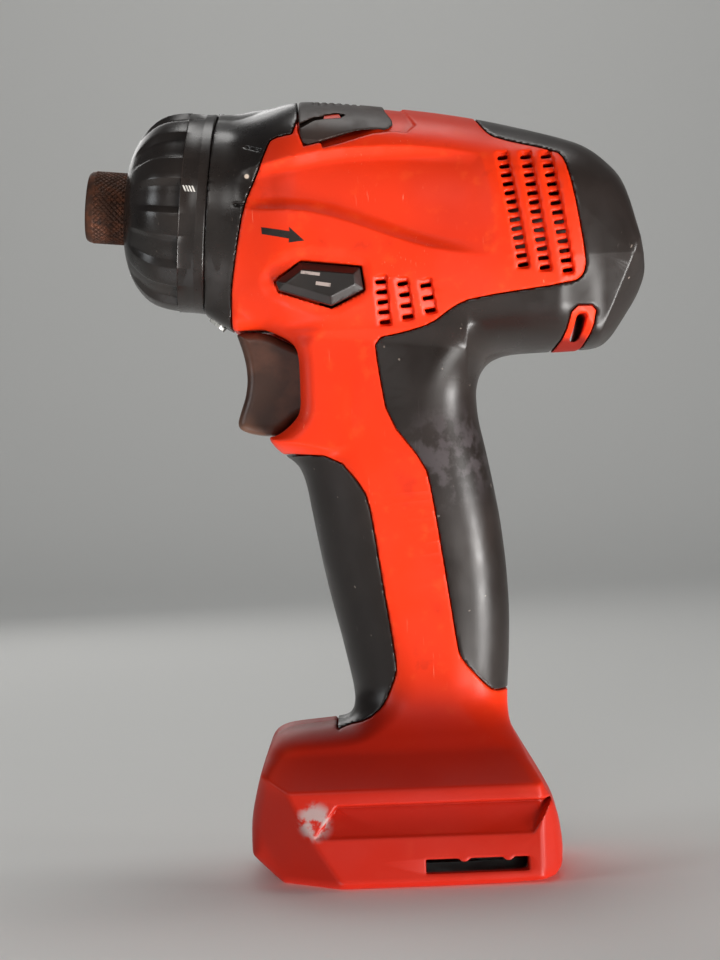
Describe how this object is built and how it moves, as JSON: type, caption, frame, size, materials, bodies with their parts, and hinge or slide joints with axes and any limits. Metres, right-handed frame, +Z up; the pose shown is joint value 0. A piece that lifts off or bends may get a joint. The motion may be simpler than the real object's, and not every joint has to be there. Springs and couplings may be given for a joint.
{
  "type": "cordless drill",
  "caption": "Compact pistol-grip cordless drill with hex bit chuck, torque collar, speed selector, reversing button, sprung trigger and battery foot; bare tool.",
  "frame": {"origin": "centre of the battery bay's mouth, on the plane that the foot stands on", "axes": "+X to the nose, +Y to the tool's left, +Z up from the foot"},
  "size_m": [0.1341, 0.063, 0.186],
  "materials": {
    "red_shell": "fine moulded grain, worn satin, with scuffs",
    "black_shell": "moulded grain, slightly glossy where handled",
    "soft_grip": "soft overmould, matt with rubbed patches",
    "trigger_plastic": "satin, rubbed smooth",
    "black_plastic": "satin",
    "white_plastic": "satin",
    "dark_steel": "blackened steel with brown rust in the knurl",
    "bright_steel": "machined",
    "screw_steel": "blackened",
    "cast_alloy": "die cast",
    "bronze": "machined",
    "magnet": "matt",
    "wire_cover": "smooth",
    "clear_lens": "clear moulded lens"
  },
  "bodies": {
    "body": {"housing_left": "red_shell", "housing_right": "red_shell", "nose_cap": "black_shell", "rear_grip_left": "soft_grip", "rear_grip_right": "soft_grip", "front_grip_left": "soft_grip", "front_grip_right": "soft_grip", "tether_eyelet": "red_shell", "housing_screws": "screw_steel", "led_lens": "clear_lens", "motor_can": "bright_steel", "motor_end_cap": "black_plastic", "magnets": "magnet", "brush_left": "magnet", "brush_right": "magnet", "motor_plate": "cast_alloy", "gear_case": "cast_alloy", "ring_gear_1": "bright_steel", "spindle_bushes": "bronze", "clutch_balls": "bright_steel", "clutch_washer": "bright_steel", "collar_clip": "bright_steel", "switch_body": "black_plastic", "terminal_block": "black_plastic", "terminal_blades": "bronze", "supply_wires": "wire_cover", "motor_wires": "wire_cover", "clutch_spring": "bright_steel", "trigger_spring": "bright_steel"},
    "rotor": {"rotor_shaft": "bright_steel", "armature_core": "bright_steel", "windings": "bronze", "commutator": "bronze", "fan": "black_plastic", "pinion": "bright_steel"},
    "carrier_1": {"carrier_1": "bright_steel"},
    "planet_1a": {"planet_1a": "bright_steel"},
    "planet_1b": {"planet_1b": "bright_steel"},
    "planet_1c": {"planet_1c": "bright_steel"},
    "output": {"spindle": "dark_steel", "carrier_2": "bright_steel", "sleeve_clip": "dark_steel", "sleeve_spring": "bright_steel"},
    "planet_2a": {"planet_2a": "bright_steel"},
    "planet_2b": {"planet_2b": "bright_steel"},
    "planet_2c": {"planet_2c": "bright_steel"},
    "sleeve": {"bit_sleeve": "dark_steel"},
    "ball_left": {"ball_left": "bright_steel"},
    "ball_right": {"ball_right": "bright_steel"},
    "collar": {"torque_collar": "black_shell"},
    "clutch_nut": {"clutch_nut": "bronze"},
    "selector": {"speed_selector": "black_shell", "shift_fork": "bright_steel"},
    "shift_ring": {"ring_gear_2": "bright_steel"},
    "trigger": {"trigger": "trigger_plastic", "trigger_plunger": "bright_steel"},
    "reverse_button": {"reverse_button": "black_plastic"},
    "reverse_lever": {"reverse_lever": "white_plastic"}
  },
  "joints": [
    {"name": "motor_spin", "type": "hinge", "parent": "body", "child": "rotor", "pos_m": [-0.01989, 0, 0.15391], "axis": [0.9945, 0, 0.1045], "continuous": true},
    {"name": "carrier_spin", "type": "hinge", "parent": "body", "child": "carrier_1", "pos_m": [0.00597, 0, 0.15663], "axis": [0.9945, 0, 0.1045], "continuous": true},
    {"name": "spindle_spin", "type": "hinge", "parent": "body", "child": "output", "pos_m": [0.03978, 0, 0.16018], "axis": [0.9945, 0, 0.1045], "continuous": true},
    {"name": "planet_1a_spin", "type": "hinge", "parent": "carrier_1", "child": "planet_1a", "pos_m": [0.002, 0, 0.14656], "axis": [0.9945, 0, 0.1045], "continuous": true},
    {"name": "planet_2a_spin", "type": "hinge", "parent": "output", "child": "planet_2a", "pos_m": [0.01393, 0, 0.14781], "axis": [0.9945, 0, 0.1045], "continuous": true},
    {"name": "planet_1b_spin", "type": "hinge", "parent": "carrier_1", "child": "planet_1b", "pos_m": [0.00049, 0.00831, 0.16088], "axis": [0.9945, 0, 0.1045], "continuous": true},
    {"name": "planet_2b_spin", "type": "hinge", "parent": "output", "child": "planet_2b", "pos_m": [0.01243, 0.00831, 0.16213], "axis": [0.9945, 0, 0.1045], "continuous": true},
    {"name": "planet_1c_spin", "type": "hinge", "parent": "carrier_1", "child": "planet_1c", "pos_m": [0.00049, -0.00831, 0.16088], "axis": [0.9945, 0, 0.1045], "continuous": true},
    {"name": "planet_2c_spin", "type": "hinge", "parent": "output", "child": "planet_2c", "pos_m": [0.01243, -0.00831, 0.16213], "axis": [0.9945, 0, 0.1045], "continuous": true},
    {"name": "sleeve_slide", "type": "slide", "parent": "output", "child": "sleeve", "axis": [0.9945, 0, 0.1045], "range_m": [0, 0.0025], "stiffness_N_per_m": 900, "springref_m": -0.0015, "deforming": ["sleeve_spring"]},
    {"name": "ball_left_slide", "type": "slide", "parent": "output", "child": "ball_left", "axis": [0, 1, 0], "range_m": [0, 0.001]},
    {"name": "ball_right_slide", "type": "slide", "parent": "output", "child": "ball_right", "axis": [0, -1, 0], "range_m": [0, 0.001]},
    {"name": "collar_turn", "type": "hinge", "parent": "body", "child": "collar", "pos_m": [0.04973, 0, 0.16123], "axis": [0.9945, 0, 0.1045], "range_deg": [0, 270]},
    {"name": "clutch_nut_slide", "type": "slide", "parent": "collar", "child": "clutch_nut", "axis": [-0.9945, 0, -0.1045], "range_m": [0, 0.00375], "deforming": ["clutch_spring"]},
    {"name": "selector_slide", "type": "slide", "parent": "body", "child": "selector", "axis": [-0.9945, 0, -0.1045], "range_m": [0, 0.0045]},
    {"name": "shift_ring_slide", "type": "slide", "parent": "body", "child": "shift_ring", "axis": [-0.9945, 0, -0.1045], "range_m": [0, 0.0045]},
    {"name": "trigger_pull", "type": "slide", "parent": "body", "child": "trigger", "axis": [-1, 0, 0], "range_m": [0, 0.006], "stiffness_N_per_m": 400, "springref_m": -0.004, "deforming": ["trigger_spring"]},
    {"name": "reverse_push", "type": "slide", "parent": "body", "child": "reverse_button", "axis": [0, 1, 0], "range_m": [-0.0025, 0.0025]},
    {"name": "reverse_lever_turn", "type": "hinge", "parent": "body", "child": "reverse_lever", "pos_m": [-0.002, 0, 0.128], "axis": [0, 0, 1], "range_deg": [-10.4, 10.4]}
  ],
  "couplings": [
    {"joint": "carrier_spin", "follows": "motor_spin", "ratio": 0.1875},
    {"joint": "spindle_spin", "follows": "motor_spin", "ratio": 0.035156},
    {"joint": "planet_1a_spin", "follows": "motor_spin", "ratio": -0.4875},
    {"joint": "planet_2a_spin", "follows": "motor_spin", "ratio": -0.091406},
    {"joint": "planet_1b_spin", "follows": "motor_spin", "ratio": -0.4875},
    {"joint": "planet_2b_spin", "follows": "motor_spin", "ratio": -0.091406},
    {"joint": "planet_1c_spin", "follows": "motor_spin", "ratio": -0.4875},
    {"joint": "planet_2c_spin", "follows": "motor_spin", "ratio": -0.091406},
    {"joint": "ball_left_slide", "follows": "sleeve_slide", "ratio": 0.4},
    {"joint": "ball_right_slide", "follows": "sleeve_slide", "ratio": 0.4},
    {"joint": "clutch_nut_slide", "follows": "collar_turn", "m_per_rad": 0.00079569},
    {"joint": "shift_ring_slide", "follows": "selector_slide", "ratio": 1},
    {"joint": "reverse_lever_turn", "follows": "reverse_push", "rad_per_m": 71.908}
  ]
}
